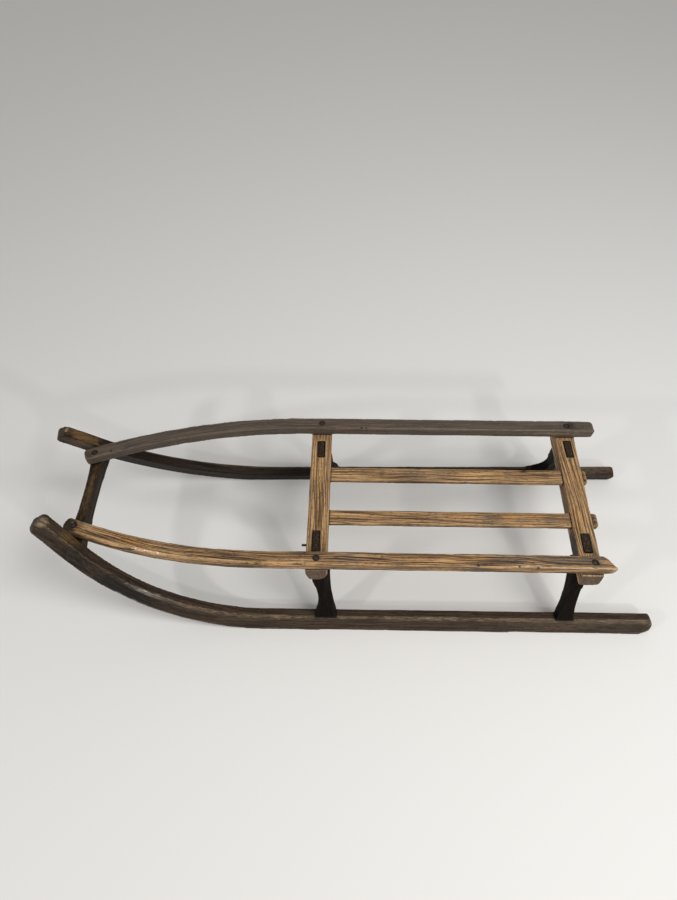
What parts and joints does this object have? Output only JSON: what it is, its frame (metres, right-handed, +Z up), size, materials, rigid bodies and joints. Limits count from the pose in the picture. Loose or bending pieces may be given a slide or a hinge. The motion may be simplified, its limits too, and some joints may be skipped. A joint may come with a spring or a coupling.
{
  "type": "wooden sled",
  "caption": "Old hand-made wooden sled: low seat rails and slats pegged on two beams, canted knee legs tenoned into long runners that sweep up into horns, tied by a front crossbar.",
  "frame": {"origin": "on the ground under the middle of the sled's bounding box, level with the soles of the runners", "axes": "+X forward along the runners, towards the horns; +Y to the sled's left; +Z up"},
  "size_m": [1.2173, 0.4086, 0.293],
  "materials": {
    "runner_wood": "weathered, dark, worn on the edges",
    "leg_wood": "weathered, nearly black",
    "deck_wood": "worn smooth, open grain",
    "rail_wood": "worn smooth, open grain",
    "peg_wood": "end grain, oiled by use",
    "rusted_iron": "rusted"
  },
  "bodies": {
    "root": {"runner_left": "runner_wood", "runner_right": "runner_wood", "leg_front_left": "leg_wood", "leg_front_right": "leg_wood", "leg_rear_left": "leg_wood", "leg_rear_right": "leg_wood", "beam_front": "deck_wood", "beam_rear": "deck_wood", "rail_left": "rail_wood", "rail_right": "rail_wood", "slat_left": "deck_wood", "slat_right": "deck_wood", "crossbar_front": "runner_wood", "peg_left_front_beam": "peg_wood", "peg_left_rear_beam": "peg_wood", "peg_left_crossbar": "peg_wood", "peg_right_front_beam": "peg_wood", "peg_right_rear_beam": "peg_wood", "peg_right_crossbar": "peg_wood", "nail_front_beam": "rusted_iron"}
  },
  "joints": []
}
